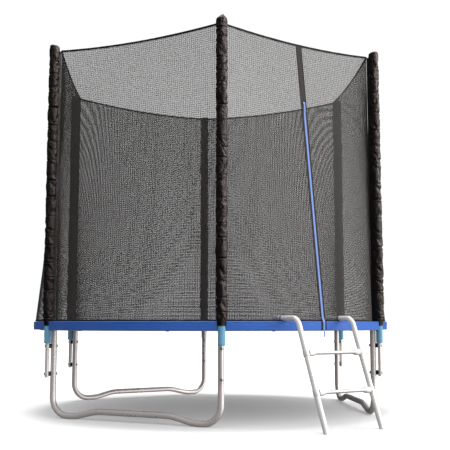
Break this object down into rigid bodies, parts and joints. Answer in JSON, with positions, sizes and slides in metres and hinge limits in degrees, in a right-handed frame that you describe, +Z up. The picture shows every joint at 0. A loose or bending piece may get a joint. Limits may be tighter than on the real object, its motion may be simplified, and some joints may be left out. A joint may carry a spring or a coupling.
{
  "type": "enclosed garden trampoline",
  "caption": "Round garden trampoline on W-shaped tube legs, with a blue safety pad, foam-padded net poles, a zipped mesh enclosure and a hook-on ladder.",
  "frame": {"origin": "centre of the jumping mat's top surface", "axes": "+Z up, square to the mat; the zipped entrance and the ladder face -Y; +X is on the right of someone who stands at the entrance and looks in"},
  "size_m": [2.558, 2.8461, 2.447],
  "materials": {
    "galvanised_steel": "galvanised, satin",
    "zinc_plate": "zinc plated",
    "light_blue_foam": "closed-cell foam, matt",
    "black_fabric": "woven polyester, slight sheen",
    "black_mesh": "knitted polyethylene mesh",
    "woven_mat": "woven polypropylene, matt",
    "blue_vinyl": "PVC-coated cover, semi-matt",
    "light_blue_zip": "moulded plastic",
    "white_coated_steel": "powder coated, semi-gloss",
    "grey_tread": "moulded plastic, semi-matt"
  },
  "bodies": {
    "frame": {"rail_segment_1": "galvanised_steel", "rail_segment_2": "galvanised_steel", "rail_segment_3": "galvanised_steel", "rail_segment_4": "galvanised_steel", "rail_segment_5": "galvanised_steel", "rail_segment_6": "galvanised_steel", "w_leg_1": "galvanised_steel", "w_leg_2": "galvanised_steel", "w_leg_3": "galvanised_steel", "pole_lower_1": "galvanised_steel", "pole_lower_2": "galvanised_steel", "pole_lower_3": "galvanised_steel", "pole_lower_4": "galvanised_steel", "pole_lower_5": "galvanised_steel", "pole_lower_6": "galvanised_steel", "pole_upper_1": "galvanised_steel", "pole_upper_2": "galvanised_steel", "pole_upper_3": "galvanised_steel", "pole_upper_4": "galvanised_steel", "pole_upper_5": "galvanised_steel", "pole_upper_6": "galvanised_steel", "foam_sleeve_1": "light_blue_foam", "foam_sleeve_2": "light_blue_foam", "foam_sleeve_3": "light_blue_foam", "foam_sleeve_4": "light_blue_foam", "foam_sleeve_5": "light_blue_foam", "foam_sleeve_6": "light_blue_foam", "net_pocket_1": "black_fabric", "net_pocket_2": "black_fabric", "net_pocket_3": "black_fabric", "net_pocket_4": "black_fabric", "net_pocket_5": "black_fabric", "net_pocket_6": "black_fabric", "pole_bolt_lower_1": "zinc_plate", "pole_bolt_lower_2": "zinc_plate", "pole_bolt_lower_3": "zinc_plate", "pole_bolt_lower_4": "zinc_plate", "pole_bolt_lower_5": "zinc_plate", "pole_bolt_lower_6": "zinc_plate", "pole_bolt_upper_1": "zinc_plate", "pole_bolt_upper_2": "zinc_plate", "pole_bolt_upper_3": "zinc_plate", "pole_bolt_upper_4": "zinc_plate", "pole_bolt_upper_5": "zinc_plate", "pole_bolt_upper_6": "zinc_plate", "springs": "zinc_plate", "safety_pad": "blue_vinyl", "net_panel_1": "black_mesh", "net_panel_2": "black_mesh", "net_panel_3": "black_mesh", "net_panel_4": "black_mesh", "net_panel_5": "black_mesh", "net_panel_6": "black_mesh", "zip_tape": "black_fabric"},
    "mat": {"jumping_mat": "woven_mat"},
    "slider": {"zip_slider": "light_blue_zip"},
    "ladder": {"ladder_rail_left": "white_coated_steel", "ladder_rail_right": "white_coated_steel", "ladder_rung_lower": "grey_tread", "ladder_rung_upper": "grey_tread"}
  },
  "joints": [
    {"name": "mat_bounce", "type": "slide", "parent": "frame", "child": "mat", "axis": [0, 0, 1], "range_m": [-0.3, 0.008], "stiffness_N_per_m": 5000, "springref_m": 0.0055, "deforming": ["springs"]},
    {"name": "zip_travel", "type": "slide", "parent": "frame", "child": "slider", "axis": [0, 0.1151, 0.9934], "range_m": [-1.26, 0]},
    {"name": "ladder_pull_off", "type": "slide", "parent": "frame", "child": "ladder", "axis": [0, -1, 0], "range_m": [0, 0.4]}
  ]
}
